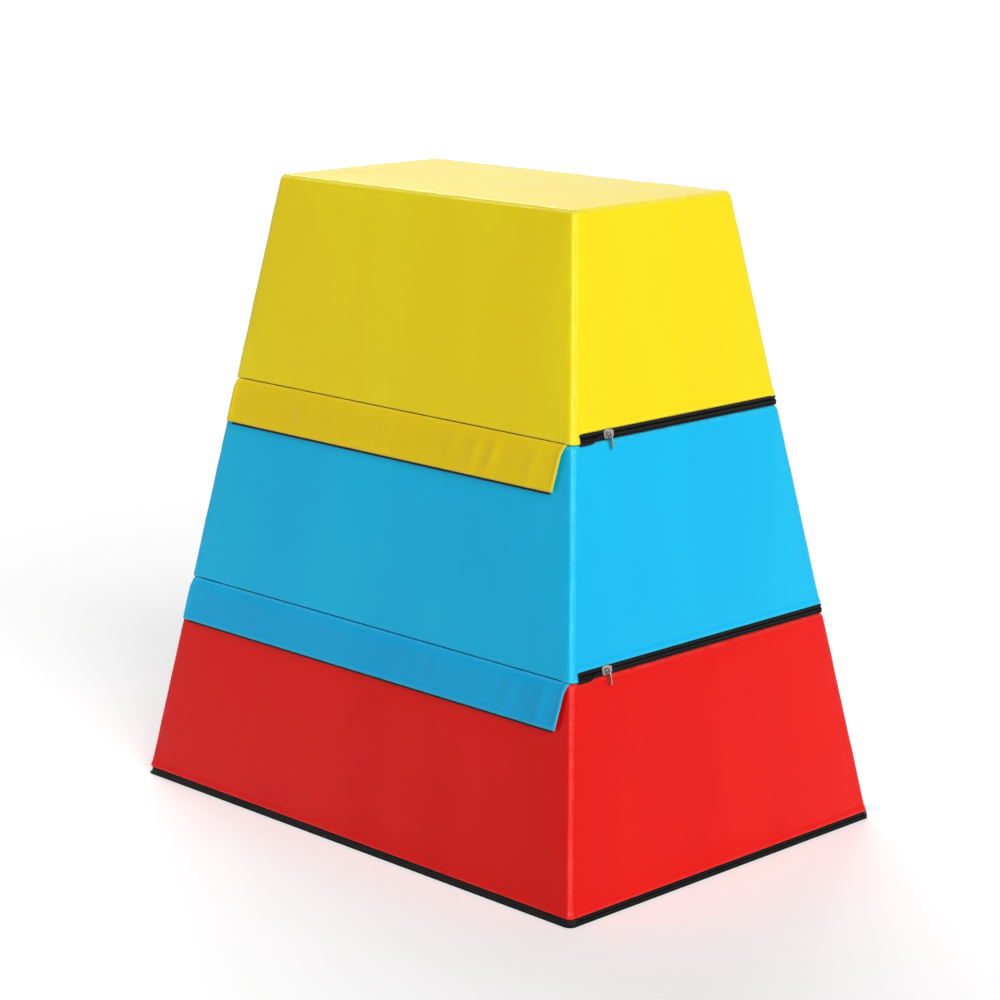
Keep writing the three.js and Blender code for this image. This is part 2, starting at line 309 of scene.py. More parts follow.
def half_length(height):
    return BASE_HALF_LENGTH - END_LEAN * height


def half_width(height):
    return BASE_HALF_WIDTH - SIDE_LEAN * height


def mix(low, high, share):
    return low + (high - low) * share


def ease(value, low, high):
    """From 0 at low to 1 at high, with level ends."""
    share = min(max((value - low) / (high - low), 0), 1)
    return share * share * (3 - 2 * share)


class Tier:
    """One tier's heights and places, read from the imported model."""

    def __init__(self, name):
        self.name = name
        self.body = f"{name}_tier"
        self.vinyl = VINYLS[name]
        self.has_flap = name in FLAP_NEAR_INSET
        self.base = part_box(f"{name}_base_panel")[0].z
        self.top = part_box(f"{name}_cover")[1].z
        low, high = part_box(f"{name}_zip_upper_coil")
        self.hem = high.z + CLEARANCE
        self.zip_start = low.y
        self.split_high = low.z
        self.split_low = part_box(f"{name}_zip_lower_coil")[1].z
        self.zip_middle = (self.base + COIL_BOTTOM + self.hem - CLEARANCE) / 2
        low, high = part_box(f"{name}_zip_slider")
        self.slider_along = (low.y + high.y) / 2
        self.zip_end = math.copysign(1, low.x)


tiers = {name: Tier(name) for name in ("bottom", "middle", "top")}


# Camera, light and floor


def set_camera():
    camera = bpy.data.objects.new("camera", bpy.data.cameras.new("camera"))
    bpy.context.scene.collection.objects.link(camera)
    camera.data.lens = CAMERA_LENS
    camera.location = CAMERA_PLACE
    camera.rotation_euler = (CAMERA_AIM - CAMERA_PLACE).to_track_quat("-Z", "Y").to_euler()
    bpy.context.scene.camera = camera


def node(tree, kind, sockets=None, **settings):
    """A node with its settings. Each of its sockets gets a value, or a link from another node."""
    made = tree.nodes.new(kind)
    for name, value in settings.items():
        setattr(made, name, value)
    for name, value in (sockets or {}).items():
        if isinstance(value, bpy.types.NodeSocket):
            tree.links.new(value, made.inputs[name])
        else:
            made.inputs[name].default_value = value
    return made


def worked(tree, operation, *values):
    """The result of a Math node."""
    return node(tree, "ShaderNodeMath", dict(enumerate(values)), operation=operation).outputs[0]


def seen_rays(tree):
    """1 for rays from the camera, from gloss and through clear things, and 0 for the light on the box."""
    path = node(tree, "ShaderNodeLightPath").outputs
    seen = worked(tree, "MAXIMUM", path["Is Camera Ray"], path["Is Glossy Ray"])
    return worked(tree, "MAXIMUM", seen, path["Is Transmission Ray"])


def set_light():
    world = bpy.data.worlds.new("studio")
    world.use_nodes = True
    bpy.context.scene.world = world
    tree = world.node_tree
    sockets = {"Value": seen_rays(tree), "To Min": SKY_STRENGTH, "To Max": 1}
    strength = node(tree, "ShaderNodeMapRange", sockets)
    tree.nodes["Background"].inputs["Color"].default_value = (1, 1, 1, 1)
    tree.links.new(strength.outputs[0], tree.nodes["Background"].inputs["Strength"])
    for name, setting in LAMPS.items():
        lamp = bpy.data.lights.new(name, "SUN")
        lamp.energy = setting["strength"]
        lamp.angle = math.radians(setting["angle"])
        placed = bpy.data.objects.new(name, lamp)
        placed.rotation_euler = (math.radians(90 - setting["height"]), 0, math.radians(setting["azimuth"]))
        bpy.context.scene.collection.objects.link(placed)


def lay_floor():
    bm = bmesh.new()
    bmesh.ops.create_grid(bm, x_segments=1, y_segments=1, size=FLOOR_HALF)
    bmesh.ops.translate(bm, verts=bm.verts, vec=(0, 0, -FLOOR_DROP))
    mesh = bpy.data.meshes.new("floor")
    bm.to_mesh(mesh)
    bm.free()
    floor = bpy.data.objects.new("floor", mesh)
    bpy.context.scene.collection.objects.link(floor)
    paper = bpy.data.materials.new("pale floor")
    paper.use_nodes = True
    tree = paper.node_tree
    shader = tree.nodes["Principled BSDF"]
    shader.inputs["Base Color"].default_value = (FLOOR_ALBEDO, FLOOR_ALBEDO, FLOOR_ALBEDO, 1)
    shader.inputs["Roughness"].default_value = 1
    shader.inputs["Specular IOR Level"].default_value = 0
    shader.inputs["Emission Color"].default_value = (1, 1, 1, 1)
    glow = worked(tree, "MULTIPLY", seen_rays(tree), FLOOR_GLOW)
    tree.links.new(glow, shader.inputs["Emission Strength"])
    mesh.materials.append(paper)


# Materials


def new_material(name, specular, metallic=0.0):
    """A material's tree and its shader, with the values that are the same all over."""
    material = bpy.data.materials.new(name)
    material.use_nodes = True
    shader = material.node_tree.nodes["Principled BSDF"]
    shader.inputs["Specular IOR Level"].default_value = specular
    shader.inputs["Metallic"].default_value = metallic
    return material, material.node_tree, shader


def patterned(tree, shader, colour, roughness, relief):
    """Joins a material's colour, roughness and relief to its shader."""
    for name, value in (("Base Color", colour), ("Roughness", roughness), ("Normal", relief)):
        tree.links.new(value, shader.inputs[name])


def on_object(tree):
    return node(tree, "ShaderNodeTexCoord").outputs["Object"]


def on_cloth(tree):
    """Places on the piece's own UV map, which is in metres."""
    return node(tree, "ShaderNodeUVMap", uv_map="UVMap").outputs["UV"]


def stretched_place(tree, place, scale):
    return node(tree, "ShaderNodeMapping", {"Vector": place, "Scale": scale}).outputs["Vector"]


def noise_of(tree, place, scale, detail):
    sockets = {"Vector": place, "Scale": scale, "Detail": detail, "Roughness": 0.5}
    return node(tree, "ShaderNodeTexNoise", sockets).outputs["Fac"]


def cells_of(tree, place, scale):
    return node(tree, "ShaderNodeTexVoronoi", {"Vector": place, "Scale": scale}).outputs["Distance"]


def ranged(tree, value, span, to=(0, 1), smooth=False):
    """Maps a value from one span to another, and holds it there."""
    sockets = {"Value": value, "From Min": span[0], "From Max": span[1], "To Min": to[0], "To Max": to[1]}
    kind = "SMOOTHSTEP" if smooth else "LINEAR"
    return node(tree, "ShaderNodeMapRange", sockets, interpolation_type=kind).outputs["Result"]


def waves(tree, value, pitch):
    """From 0 to 1 and back over every pitch."""
    turn = worked(tree, "MULTIPLY", value, 2 * math.pi / pitch)
    return ranged(tree, worked(tree, "SINE", turn), (-1, 1))


def blend_colours(tree, share, first, second):
    """A colour between two, each given as three shares or as another node's output."""
    made = node(tree, "ShaderNodeMix", {"Factor": share}, data_type="RGBA")
    for socket, colour in zip(made.inputs[6:8], (first, second)):
        if isinstance(colour, bpy.types.NodeSocket):
            tree.links.new(colour, socket)
        else:
            socket.default_value = (*colour, 1)
    return made.outputs[2]


def bump(tree, height, depth, strength, under=None):
    """A relief on the surface, or on the relief under it."""
    sockets = {"Height": height, "Distance": depth, "Strength": strength}
    if under is not None:
        sockets["Normal"] = under
    return node(tree, "ShaderNodeBump", sockets).outputs["Normal"]


def vinyl(name, plain, deep, pale):
    """Coated cloth: satin, with a fine pressed grain, soft upright bands and paler gathered seams. The paler
    seams are partly wear and partly a painted highlight.
    """
    material, tree, shader = new_material(name, specular=0.1)
    shader.inputs["Coat Weight"].default_value = 0.15
    shader.inputs["Coat Roughness"].default_value = 0.16
    place = on_object(tree)
    upright = stretched_place(tree, place, (9, 9, 1.8))
    bands = ranged(tree, noise_of(tree, upright, scale=1, detail=2), (0.35, 0.65), smooth=True)
    tone = blend_colours(tree, bands, plain, deep)
    relief = bump(tree, noise_of(tree, place, scale=28, detail=2), depth=0.7 * MM, strength=0.5)
    grain = noise_of(tree, place, scale=1500, detail=1)
    relief = bump(tree, grain, depth=0.06 * MM, strength=0.35, under=relief)
    off = node(tree, "ShaderNodeAttribute", attribute_name="seam_off").outputs["Fac"]
    along = node(tree, "ShaderNodeAttribute", attribute_name="seam_along").outputs["Fac"]
    near = ranged(tree, off, (0, GATHER_REACH), (1, 0), smooth=True)
    gathers = worked(tree, "MULTIPLY", near, waves(tree, along, GATHER_PITCH))
    relief = bump(tree, gathers, depth=-GATHER_DEPTH, strength=0.8, under=relief)
    # The paler band along the seams and the hem's edge is partly worn vinyl and partly a painted highlight,
    # uneven in strength
    rubbed = ranged(tree, noise_of(tree, place, scale=60, detail=4), (0.3, 0.7), (0.6, 1.4))
    stretched = ranged(tree, off, (0, PALE_REACH), (PALE_SHARE, 0), smooth=True)
    colour = blend_colours(tree, worked(tree, "MULTIPLY", stretched, rubbed), tone, pale)
    roughness = ranged(tree, noise_of(tree, place, scale=9, detail=4), (0.3, 0.7), (0.33, 0.44))
    patterned(tree, shader, colour, roughness, relief)
    return material


def base_vinyl():
    """The black panel under a tier: matt, with a pressed pebble grip and dusty rubbed spots."""
    material, tree, shader = new_material("base vinyl", specular=0.15)
    place = on_object(tree)
    pebbles = cells_of(tree, place, scale=420)
    dust = ranged(tree, noise_of(tree, place, scale=14, detail=4), (0.45, 0.75), (0, 0.35), smooth=True)
    colour = blend_colours(tree, dust, BASE_BLACK, BASE_DUST)
    roughness = ranged(tree, dust, (0, 0.35), (0.6, 0.8))
    patterned(tree, shader, colour, roughness, bump(tree, pebbles, depth=0.25 * MM, strength=0.7))
    return material


def woven(name, yarn, gap, pitch):
    """A woven tape, with its ribs along and across the strip."""
    material, tree, shader = new_material(name, specular=0.2)
    place = on_cloth(tree)
    parts = node(tree, "ShaderNodeSeparateXYZ", {"Vector": place}).outputs
    weave = worked(tree, "MULTIPLY", waves(tree, parts["X"], pitch), waves(tree, parts["Y"], pitch))
    fuzz = noise_of(tree, place, scale=2400, detail=2)
    height = worked(tree, "ADD", weave, worked(tree, "MULTIPLY", fuzz, 0.4))
    colour = blend_colours(tree, weave, gap, yarn)
    roughness = ranged(tree, fuzz, (0.3, 0.7), (0.75, 0.95))
    patterned(tree, shader, colour, roughness, bump(tree, height, depth=0.15 * MM, strength=0.8))
    return material


def coil_nylon():
    """The zip's turns: dyed nylon, smooth and a little shiny, with paler rubbed crowns."""
    material, tree, shader = new_material("coil nylon", specular=0.2)
    place = on_object(tree)
    rub = ranged(tree, noise_of(tree, place, scale=35, detail=3), (0.45, 0.7), smooth=True)
    fine = noise_of(tree, place, scale=1800, detail=1)
    colour = blend_colours(tree, rub, COIL_BLACK, COIL_RUBBED)
    roughness = ranged(tree, rub, (0, 1), (0.44, 0.6))
    patterned(tree, shader, colour, roughness, bump(tree, fine, depth=0.03 * MM, strength=0.5))
    return material


def thread(name, plain, deep):
    """Twisted sewing thread."""
    material, tree, shader = new_material(name, specular=0.35)
    twist = noise_of(tree, on_object(tree), scale=1600, detail=2)
    colour = blend_colours(tree, ranged(tree, twist, (0.35, 0.65)), deep, plain)
    roughness = ranged(tree, twist, (0.35, 0.65), (0.5, 0.7))
    patterned(tree, shader, colour, roughness, bump(tree, twist, depth=0.08 * MM, strength=0.7))
    return material


def slider_metal():
    """Plated die-cast metal with fine scratches and duller hollows."""
    material, tree, shader = new_material("slider metal", specular=0.5, metallic=1.0)
    place = on_object(tree)
    scratch = noise_of(tree, stretched_place(tree, place, (300, 300, 2400)), scale=1, detail=3)
    dull = noise_of(tree, place, scale=260, detail=3)
    colour = blend_colours(tree, ranged(tree, dull, (0.4, 0.7)), METAL_BRIGHT, METAL_DULL)
    roughness = ranged(tree, dull, (0.3, 0.7), (0.25, 0.45))
    patterned(tree, shader, colour, roughness, bump(tree, scratch, depth=0.02 * MM, strength=0.5))
    return material


def pile(name, depth):
    """Hook or loop strip: a dense black pile between two flat woven edges, with lint caught in patches."""
    material, tree, shader = new_material(name, specular=0.15)
    place = on_object(tree)
    across = node(tree, "ShaderNodeSeparateXYZ", {"Vector": on_cloth(tree)}).outputs["Y"]
    from_edge = worked(tree, "MINIMUM", across, worked(tree, "SUBTRACT", STRIP_WIDTH, across))
    tufted = ranged(tree, from_edge, (0.9 * SELVEDGE, 1.1 * SELVEDGE))
    patches = ranged(tree, noise_of(tree, place, scale=38, detail=4), (0.35, 0.65), smooth=True)
    furred = blend_colours(tree, patches, PILE_BLACK, PILE_LINT)
    colour = blend_colours(tree, tufted, PILE_EDGE, furred)
    roughness = ranged(tree, patches, (0, 1), (0.85, 1))
    tufts = worked(tree, "MULTIPLY", cells_of(tree, place, scale=900), tufted)
    patterned(tree, shader, colour, roughness, bump(tree, tufts, depth, strength=1))
    return material


def foam():
    """Cut foam: open cells in a cream block that has yellowed a little in patches."""
    material, tree, shader = new_material("cut foam", specular=0.1)
    place = on_object(tree)
    cells = cells_of(tree, place, scale=700)
    patches = ranged(tree, noise_of(tree, place, scale=4, detail=2), (0.35, 0.65), smooth=True)
    colour = blend_colours(tree, patches, FOAM_CREAM, FOAM_YELLOWED)
    roughness = ranged(tree, cells, (0, 0.6), (1, 0.9))
    patterned(tree, shader, colour, roughness, bump(tree, cells, depth=0.5 * MM, strength=0.8))
    return material


def make_finishes():
    """Every material, by what it covers."""
    shades = ("plain", "deep", "pale")
    made = {}
    for name, tier in tiers.items():
        made[f"{name} cover"] = vinyl(tier.vinyl["name"], *(tier.vinyl[shade] for shade in shades))
    # Each flap takes a darker copy of its tier's vinyl, as painted shade
    for name, tone in FLAP_SHADE_TONE.items():
        flap_shaded_colours = [[share * part for share, part in zip(tiers[name].vinyl[shade], tone)] for shade in shades]
        made[f"{name} flap"] = vinyl(f"{name} flap vinyl", *flap_shaded_colours)
    for name, tier in tiers.items():
        made[f"{name} thread"] = thread(f"{name} thread", tier.vinyl["plain"], tier.vinyl["deep"])
    made["black thread"] = thread("black thread", BLACK_THREAD, BLACK_THREAD_DEEP)
    made["base"] = base_vinyl()
    made["tape"] = woven("zip tape", TAPE_THREAD, TAPE_GAP, pitch=0.9 * MM)
    made["coil"] = coil_nylon()
    made["metal"] = slider_metal()
    made["hooks"] = pile("hook pile", depth=0.6 * MM)
    made["loops"] = pile("loop pile", depth=0.4 * MM)
    made["foam"] = foam()
    return made


FINISHES = make_finishes()


# Shaping


def linked(name, bm, material, sharp=None):
    """An object from a bmesh, shaded smooth apart from the edges that turn by more than sharp degrees."""
    mesh = bpy.data.meshes.new(name)
    bm.to_mesh(mesh)
    bm.free()
    mesh.shade_smooth()
    if sharp is not None:
        mesh.set_sharp_from_angle(angle=math.radians(sharp))
    mesh.materials.append(material)
    made = bpy.data.objects.new(name, mesh)
    bpy.context.scene.collection.objects.link(made)
    return made


def dressed(made, slot, *nodes):
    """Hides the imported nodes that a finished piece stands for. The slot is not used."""
    if nodes:
        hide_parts(*nodes)
    return made


def carried(made, body, slot, *nodes):
    """Puts a finished piece on its body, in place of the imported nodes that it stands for."""
    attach(made, body)
    return dressed(made, slot, *nodes)


def thicken(made, thickness, offset=0):
    """Gives a sheet its thickness, half on each side, or with an offset of -1 all behind it."""
    wall = made.modifiers.new("thickness", "SOLIDIFY")
    wall.thickness = thickness
    wall.offset = offset
    return made


def softened(made, width):
    """Takes the sharpness off a hard piece's edges."""
    edge = made.modifiers.new("edges", "BEVEL")
    edge.width = width
    edge.segments = 2
    edge.limit_method = "ANGLE"
    edge.angle_limit = math.radians(METAL_TURN)
    return made


def whole(bm):
    return bm.verts[:] + bm.edges[:] + bm.faces[:]


def points_of(made):
    """The points among what an operator made."""
    return [part for part in made["geom"] if isinstance(part, bmesh.types.BMVert)]


def cut(bm, axis, at):
    """Cuts a shape's faces along a plane across an axis, and keeps both sides."""
    way = Vector((0, 0, 0))
    way[axis] = 1
    bmesh.ops.bisect_plane(bm, geom=whole(bm), plane_co=way * at, plane_no=way)


def leaning_block(low, high, inset=0.0):
    """A block between two heights whose faces lean as the box's do."""
    bm = bmesh.new()
    bmesh.ops.create_cube(bm, size=2)
    for corner in bm.verts:
        height = high if corner.co.z > 0 else low
        x, y = half_length(height) - inset, half_width(height) - inset
        corner.co = Vector((corner.co.x * x, corner.co.y * y, height))
    return bm


def runs_along(edge, axis):
    run = edge.verts[0].co - edge.verts[1].co
    return max(range(3), key=lambda way: abs(run[way])) == axis


def is_corner_edge(edge, inset=0.0):
    """Whether an edge is one of the block's upright corners."""
    return runs_along(edge, 2) and all(
        abs(half_length(end.co.z) - inset - abs(end.co.x)) < CLEARANCE / 10
        and abs(half_width(end.co.z) - inset - abs(end.co.y)) < CLEARANCE / 10
        for end in edge.verts
    )


def round_edges(bm, edges, radius, steps):
    bmesh.ops.bevel(
        bm,
        geom=edges,
        offset=radius,
        offset_type="OFFSET",
        segments=steps,
        profile=0.5,
        affect="EDGES",
        material=-1,
        clamp_overlap=False,
    )


def round_block(bm, inset=0.0):
    """Rounds a block's upright corners, and then the rim of its level top."""
    corners = [edge for edge in bm.edges if is_corner_edge(edge, inset)]
    round_edges(bm, corners, CORNER_RADIUS - inset, CORNER_STEPS)
    bm.normal_update()
    rim = []
    for edge in bm.edges:
        tilts = sorted(face.normal.z for face in edge.link_faces)
        if len(tilts) == 2 and tilts[0] < LEVEL_NORMAL < tilts[1]:
            rim.append(edge)
    round_edges(bm, rim, EDGE_RADIUS - inset, EDGE_STEPS)


def foot_faces(bm):
    return [face for face in bm.faces if face.normal.z < -LEVEL_NORMAL]


def grid_sheet(columns, rows, place, size):
    """A sheet of columns by rows whose points lie where place says, with its flat size as its UV map."""
    bm = bmesh.new()
    bmesh.ops.create_grid(bm, x_segments=columns, y_segments=rows, size=0.5)
    flat = bm.loops.layers.uv.new("UVMap")
    for face in bm.faces:
        for corner in face.loops:
            corner[flat].uv = ((corner.vert.co.x + 0.5) * size[0], (corner.vert.co.y + 0.5) * size[1])
    for point in bm.verts:
        point.co = place(point.co.x + 0.5, point.co.y + 0.5)
    return bm


# The run round the back of the box: along one end, round a corner, along the back, round the other
# corner and along the other end. A station is the leg, from 0 to 4, and the share of the leg.


def run_spot(start, station, height, out):
    leg, share = station
    if leg > 2:
        spot = run_spot(start, (4 - leg, 1 - share), height, out)
        return Vector((-spot.x, spot.y, spot.z))
    x, y = half_length(height) + out, half_width(height) + out
    radius = max(CORNER_RADIUS + out, CLEARANCE)
    if leg == 0:
        return Vector((x, mix(start, y - radius, share), height))
    if leg == 2:
        return Vector(((1 - 2 * share) * (x - radius), y, height))
    turn = share * math.pi / 2
    return Vector((x - radius + radius * math.cos(turn), y - radius + radius * math.sin(turn), height))


def run_frame(start, station, height, out):
    """A matrix at a station: X outwards, Y along the run and Z up the leaning face."""
    leg, share = station
    turn = (leg // 2 + (share if leg % 2 else 0)) * math.pi / 2
    across, along = math.cos(turn), math.sin(turn)
    outwards = Vector((across, along, END_LEAN * across**2 + SIDE_LEAN * along**2)).normalized()
    onwards = Vector((-along, across, 0))
    axes = Matrix((outwards, onwards, outwards.cross(onwards))).transposed().to_4x4()
    return Matrix.Translation(run_spot(start, station, height, out)) @ axes


def run_legs(start, height):
    end = half_width(height) - CORNER_RADIUS - start
    corner = CORNER_RADIUS * math.pi / 2
    return [end, corner, 2 * (half_length(height) - CORNER_RADIUS), corner, end]


def run_stations(start, height, pitch):
    stations = []
    for leg, length in enumerate(run_legs(start, height)):
        count = max(round(length / pitch), 1)
        stations += [(leg, step / count) for step in range(count)]
    return stations + [(4, 1)]


# Covers


def off_seam(first, second, radius):
    """How far a point is from the seam along a rounded edge, by how far it is in from the two faces."""
    if first < radius and second < radius:
        turn = math.atan2(radius - second, radius - first)
        return radius * abs(turn - math.pi / 4)
    return radius * math.pi / 4 + max(first, second) - radius


def seam_place(point, tier):
    """How far a point of the cover is from the nearest seam, and how far that is from the seam's end."""
    side = half_length(point.z) - abs(point.x)
    front = half_width(point.z) - abs(point.y)
    down = tier.top - point.z
    corner_off = off_seam(side, front, CORNER_RADIUS)
    top_off = off_seam(min(side, front), down, EDGE_RADIUS)
    beside_flap = tier.has_flap and point.y < tier.zip_start
    up = point.z - (tier.base if beside_flap else tier.hem)
    if 0 <= up < min(corner_off, top_off):
        return up, max(side, front)
    if corner_off < top_off:
        return corner_off, min(down, up)
    return top_off, max(side, front)


def tuck(point, tier):
    """How far the front of the cover turns in at its foot, where the flap is sewn to it."""
    side = half_length(point.z) - abs(point.x)
    front = half_width(point.z) + point.y
    if not tier.has_flap or front > CORNER_RADIUS or point.z > tier.base + TUCK_RISE:
        return 0
    share = 1 - max(point.z - tier.base, 0) / TUCK_RISE
    return TUCK_DEPTH * (1 - math.sqrt(1 - share**2)) * ease(side, CORNER_RADIUS, TUCK_FADE)


def cover_shell(tier):
    """The cover's outer face: an open-footed box in a grid of faces, with the zip's opening cut out."""
    bm = leaning_block(tier.base, tier.top)
    bmesh.ops.delete(bm, geom=foot_faces(bm), context="FACES_ONLY")
    spans = (2 * half_length(tier.top), 2 * half_width(tier.top), tier.top - tier.base)
    for axis, span in enumerate(spans):
        lines = [edge for edge in bm.edges if runs_along(edge, axis)]
        bmesh.ops.subdivide_edges(bm, edges=lines, cuts=int(span / PANEL_STEP), use_grid_fill=True)
    round_block(bm)
    bmesh.ops.subdivide_edges(bm, edges=bm.edges[:], cuts=1, use_grid_fill=True)
    for rise in (0, *HEM_ROWS):
        cut(bm, 2, tier.hem + rise)
    for rise in TUCK_ROWS:
        cut(bm, 2, tier.base + rise)
    cut(bm, 1, tier.zip_start)
    opening = []
    for face in bm.faces:
        middle = face.calc_center_median()
        if middle.z < tier.hem and (not tier.has_flap or middle.y > tier.zip_start):
            opening.append(face)
    bmesh.ops.delete(bm, geom=opening, context="FACES")
    bm.normal_update()
    return bm


def is_covered(point, tier):
    """Whether a tier or a strip lies on the cover at a point."""
    if tier.name == "top":
        return False
    front = half_width(point.z) + point.y
    return point.z > tier.top - EDGE_RADIUS or (point.z > tier.top - HELD_FRONT and front < EDGE_RADIUS)


def is_sewn(point, tier):
    """Whether the vinyl is held at a point: at seams, at the foot, and where a strip or a tier holds it."""
    off, _ = seam_place(point, tier)
    return off < CORNER_RADIUS or point.z < tier.hem + SEWN_FOOT or is_covered(point, tier)


def swell(shells):
    """Blows the covers up a little between their seams, as cloth, and caps how far a point moves."""
    for tier, shell in shells:
        sewn = shell.vertex_groups.new(name="sewn")
        held = [point.index for point in shell.data.vertices if is_sewn(point.co, tier)]
        sewn.add(held, 1, "REPLACE")
        cloth = shell.modifiers.new("swell", "CLOTH")
        cloth.settings.vertex_group_mass = "sewn"
        cloth.settings.effector_weights.gravity = 0
        cloth.settings.use_pressure = True
        cloth.settings.uniform_pressure_force = SWELL_PRESSURE
        cloth.settings.quality = 5
        cloth.collision_settings.use_collision = False
        cloth.point_cache.frame_start = 1
        cloth.point_cache.frame_end = SWELL_FRAMES
    scene = bpy.context.scene
    for step in range(1, SWELL_FRAMES + 1):
        scene.frame_set(step)
    graph = bpy.context.evaluated_depsgraph_get()
    for tier, shell in shells:
        swollen = [point.co.copy() for point in shell.evaluated_get(graph).data.vertices]
        moves = [there - point.co for point, there in zip(shell.data.vertices, swollen)]
        furthest = max(move.length for move in moves)
        print("swell", tier.name, len(moves), "points, furthest", round(furthest / MM, 2), "mm")
        for point, move in zip(shell.data.vertices, moves):
            point.co += move * SWELL / (SWELL + move.length)
        shell.modifiers.clear()
    scene.frame_set(1)


def hem_roll(share):
    """How much of its roll the hem has at a share of its depth, with a dip at its edge."""
    dip = HEM_DIP_SHARE * (1 - ease(share, 0, HEM_DIP_END_SHARE))
    return math.sin(math.pi * share**HEM_LEAN) - dip


def sew(tier, shell):
    """Draws the seams in, puckers the vinyl beside them and rolls the hem over the zip."""
    mesh = shell.data
    normals = [point.normal.copy() for point in mesh.vertices]
    offs = mesh.attributes.new("seam_off", "FLOAT", "POINT")
    alongs = mesh.attributes.new("seam_along", "FLOAT", "POINT")
    for point, normal in zip(mesh.vertices, normals):
        off, along = seam_place(point.co, tier)
        offs.data[point.index].value = off
        alongs.data[point.index].value = along
        out = -SEAM_DEPTH * (1 - ease(off, 0, SEAM_WIDTH))
        fade = ease(off, 0, 2 * SEAM_WIDTH) * (1 - ease(off, SEAM_WIDTH, PUCKER_REACH))
        if not is_covered(point.co, tier):
            out += PUCKER_HEIGHT * fade * noise.noise(point.co / PUCKER_LENGTH)
        out -= tuck(point.co, tier)
        rise = point.co.z - tier.hem
        if 0 <= rise < HEM_DEPTH:
            behind = ease(point.co.y, tier.zip_start, tier.zip_start + HEM_FADE) if tier.has_flap else 1
            out += behind * HEM_ROLL * hem_roll(rise / HEM_DEPTH)
        point.co += normal * out
        point.co.z = max(point.co.z, tier.base)
        if tier.name != "top":
            point.co.z = min(point.co.z, tier.top)


def row_of(bead, places):
    """Copies a small shape to every place. The row doubles until it is long enough, and is then laid out."""
    count = 1
    while count < len(places):
        copied = points_of(bmesh.ops.duplicate(bead, geom=whole(bead)))
        bmesh.ops.translate(bead, verts=copied, vec=(0, count * ROW_GAP, 0))
        count *= 2
    spare = [point for point in bead.verts if round(point.co.y / ROW_GAP) >= len(places)]
    bmesh.ops.delete(bead, geom=spare, context="VERTS")
    for point in bead.verts:
        index = round(point.co.y / ROW_GAP)
        point.co = places[index] @ (point.co - Vector((0, index * ROW_GAP, 0)))
    return bead


def ball(sides, rings, size):
    """A small ball, drawn out to the size of half of each axis."""
    bm = bmesh.new()
    bmesh.ops.create_uvsphere(bm, u_segments=sides, v_segments=rings, radius=1)
    bmesh.ops.scale(bm, verts=bm.verts, vec=size)
    return bm


def stitches(places, surface=None):
    """A row of stitches, one at each place, each lying along the place's Y."""
    laid = []
    for place in places:
        if surface is not None:
            spot, normal, _, _ = surface.find_nearest(place.translation)
            place = place.copy()
            place.translation = spot + normal * THREAD_RISE
        laid.append(place)
    bead = ball(sides=6, rings=4, size=(THREAD_WIDTH / 2, STITCH_LENGTH / 2, THREAD_WIDTH / 2))
    return row_of(bead, laid)


def surface_of(made):
    bm = bmesh.new()
    bm.from_mesh(made.data)
    tree = BVHTree.FromBMesh(bm)
    bm.free()
    return tree


def make_covers():
    shells = []
    for name, tier in tiers.items():
        shell = linked(f"{name}_padded_cover", cover_shell(tier), FINISHES[f"{name} cover"])
        shells.append((tier, shell))
    swell(shells)
    for tier, shell in shells:
        sew(tier, shell)
        surface = surface_of(shell)
        thicken(shell, VINYL_THICKNESS, offset=-1)
        carried(shell, tier.body, tier.vinyl["slot"], f"{tier.name}_cover")
        height = tier.hem + HEM_STITCH_RISE
        stations = run_stations(tier.zip_start, height, STITCH_PITCH)
        places = [run_frame(tier.zip_start, station, height, 0) for station in stations]
        material = FINISHES[f"{tier.name} thread"]
        row = linked(f"{tier.name}_hem_stitches", stitches(places, surface), material)
        carried(row, tier.body, tier.vinyl["slot"])


# Foam blocks and base panels


def foam_block(tier):
    """The foam, with rounded edges and a step round its foot that leaves room for the zip."""
    inset = VINYL_THICKNESS + FOAM_SLACK
    step_top = tier.hem + TAPE_HEM + CLEARANCE
    bm = leaning_block(step_top, tier.top - inset, inset)
    round_block(bm, inset)
    bm.normal_update()
    foot = foot_faces(bm)
    bmesh.ops.inset_region(bm, faces=foot, thickness=FOAM_RECESS - inset, use_even_offset=True)
    made = bmesh.ops.extrude_face_region(bm, geom=foot)
    bmesh.ops.delete(bm, geom=foot, context="FACES_ONLY")
    height = tier.base + FOAM_FOOT
    spread = (half_length(height) - FOAM_RECESS) / (half_length(step_top) - FOAM_RECESS)
    for point in points_of(made):
        point.co = Vector((point.co.x * spread, point.co.y * spread, height))
    bm.normal_update()
    return bm


def base_panel(tier):
    """The black panel under the foam. Behind the zip's start its edge is level with the cover's faces."""
    bm = leaning_block(tier.base, tier.base + BASE_THICKNESS)
    round_edges(bm, [edge for edge in bm.edges if is_corner_edge(edge)], CORNER_RADIUS, CORNER_STEPS)
    if tier.has_flap:
        cut(bm, 1, tier.zip_start)
        cut(bm, 1, tier.zip_start - CLEARANCE)
        inset = VINYL_THICKNESS + CLEARANCE
        for point in bm.verts:
            if point.co.y < tier.zip_start - CLEARANCE / 2:
                point.co.x *= 1 - inset / half_length(tier.base)
                front = ease(-point.co.y, -tier.zip_start, half_width(tier.base) - CORNER_RADIUS)
                point.co.y += (inset + TUCK_DEPTH + BINDING_THICKNESS + CLEARANCE) * front
    bm.normal_update()
    turned = math.radians(RIM_TURN)
    rim = [edge for edge in bm.edges if edge.is_manifold and edge.calc_face_angle() > turned]
    round_edges(bm, [edge for edge in rim if not runs_along(edge, 2)], BASE_EDGE, BASE_EDGE_STEPS)
    return bm


